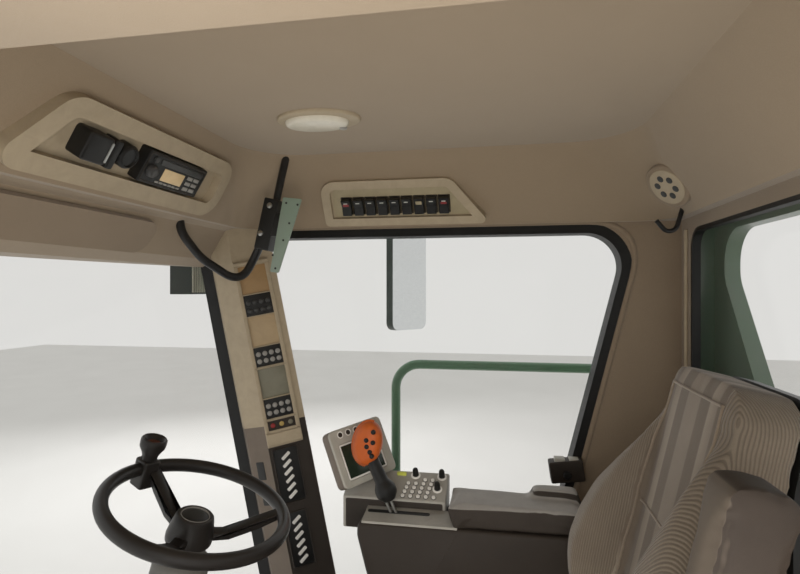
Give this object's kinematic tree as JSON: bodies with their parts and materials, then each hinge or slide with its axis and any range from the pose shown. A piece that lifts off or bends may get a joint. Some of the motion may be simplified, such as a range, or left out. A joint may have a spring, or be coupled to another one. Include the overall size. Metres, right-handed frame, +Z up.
{
  "type": "combine harvester cab",
  "caption": "Combine harvester operator's cab with seat, armrest console, tilting steering column, training seat, overhead pods, hinged glass door, handrail and mirrors",
  "frame": {"origin": "on the ground under the middle of the cab, where its four isolators stand", "axes": "+X is the cab's right, +Y its front, +Z up"},
  "size_m": [2.6917, 1.9, 1.99],
  "materials": {
    "cab_paint": "satin green paint",
    "frame_paint": "semi-gloss black paint",
    "roof_paint": "satin green paint",
    "isolator_rubber": "matte",
    "mat_rubber": "ribbed matte",
    "seal_rubber": "matte",
    "tinted_glass": "green tinted, clear",
    "liner_felt": "short tan felt",
    "trim_felt": "short tan felt",
    "beige_plastic": "fine grain",
    "dark_plastic": "fine grain",
    "grey_plastic": "fine grain",
    "black_plastic": "satin",
    "wheel_plastic": "satin soft touch",
    "orange_plastic": "satin",
    "seat_fabric": "striped woven upholstery",
    "lens_clear": "ribbed lens",
    "bright_steel": "zinc plated",
    "rail_paint": "gloss green paint"
  },
  "bodies": {
    "cab": {"base_rails": "frame_paint", "isolators": "isolator_rubber", "floor_pan": "frame_paint", "floor_mat": "mat_rubber", "side_wall_right": "cab_paint", "side_wall_left": "cab_paint", "rear_panel": "cab_paint", "windshield": "tinted_glass", "right_window": "tinted_glass", "right_seal": "seal_rubber", "rear_trim": "trim_felt", "rear_seal": "seal_rubber", "rear_window": "tinted_glass", "windshield_seal": "seal_rubber", "side_trim_right": "trim_felt", "side_trim_left": "trim_felt", "door_seal": "seal_rubber", "roof_cap": "roof_paint", "roof_fascia": "frame_paint", "roof_lamps": "lens_clear", "headliner": "liner_felt", "front_soffit": "liner_felt", "sun_visor": "dark_plastic", "radio_pod": "beige_plastic", "radio_set": "black_plastic", "switch_pod": "beige_plastic", "rocker_switches": "black_plastic", "dome_light": "lens_clear", "corner_trim": "beige_plastic", "corner_cover": "dark_plastic", "seat_suspension": "dark_plastic", "pedestal": "dark_plastic", "trainer_base": "dark_plastic", "trainer_cushion": "seat_fabric", "door_hinges": "frame_paint", "mirror_right": "black_plastic", "mirror_left": "black_plastic", "mirror_arms": "frame_paint", "work_lamps": "black_plastic", "handrail": "rail_paint"},
    "seat": {"seat_frame": "frame_paint", "seat_cushion": "seat_fabric", "console": "dark_plastic", "armrest_pad": "grey_plastic", "keypad_panel": "grey_plastic", "control_lever": "black_plastic", "lever_head": "orange_plastic", "monitor": "grey_plastic"},
    "seat_back": {"seat_back": "seat_fabric", "seat_shell": "black_plastic"},
    "armrest": {"left_armrest": "seat_fabric"},
    "column": {"steering_column": "dark_plastic"},
    "wheel": {"steering_wheel": "wheel_plastic", "spinner_knob": "wheel_plastic"},
    "trainer_back": {"trainer_back": "seat_fabric"},
    "door": {"door_frame": "cab_paint", "door_glass": "tinted_glass"}
  },
  "joints": [
    {"name": "door_swing", "type": "hinge", "parent": "cab", "child": "door", "pos_m": [-0.952, -0.668, 0.95], "axis": [0, 0, 1], "range_deg": [0, 95]},
    {"name": "seat_slide", "type": "slide", "parent": "cab", "child": "seat", "axis": [0, 1, 0], "range_m": [0, 0.12]},
    {"name": "back_recline", "type": "hinge", "parent": "seat", "child": "seat_back", "pos_m": [0.15, -0.515, 0.65], "axis": [-1, 0, 0], "range_deg": [-2.5, 20]},
    {"name": "armrest_fold", "type": "hinge", "parent": "seat_back", "child": "armrest", "pos_m": [-0.11, -0.495, 0.915], "axis": [-1, 0, 0], "range_deg": [0, 100]},
    {"name": "column_tilt", "type": "hinge", "parent": "cab", "child": "column", "pos_m": [0.15, 0.44033, 0.62175], "axis": [1, 0, 0], "range_deg": [-8, 12]},
    {"name": "wheel_turn", "type": "hinge", "parent": "column", "child": "wheel", "pos_m": [0.15, 0.299, 1.07], "axis": [0, -0.3007, 0.9537], "continuous": true},
    {"name": "trainer_fold", "type": "hinge", "parent": "cab", "child": "trainer_back", "pos_m": [-0.585, -0.745, 0.68], "axis": [-1, 0, 0], "range_deg": [0, 85]}
  ]
}
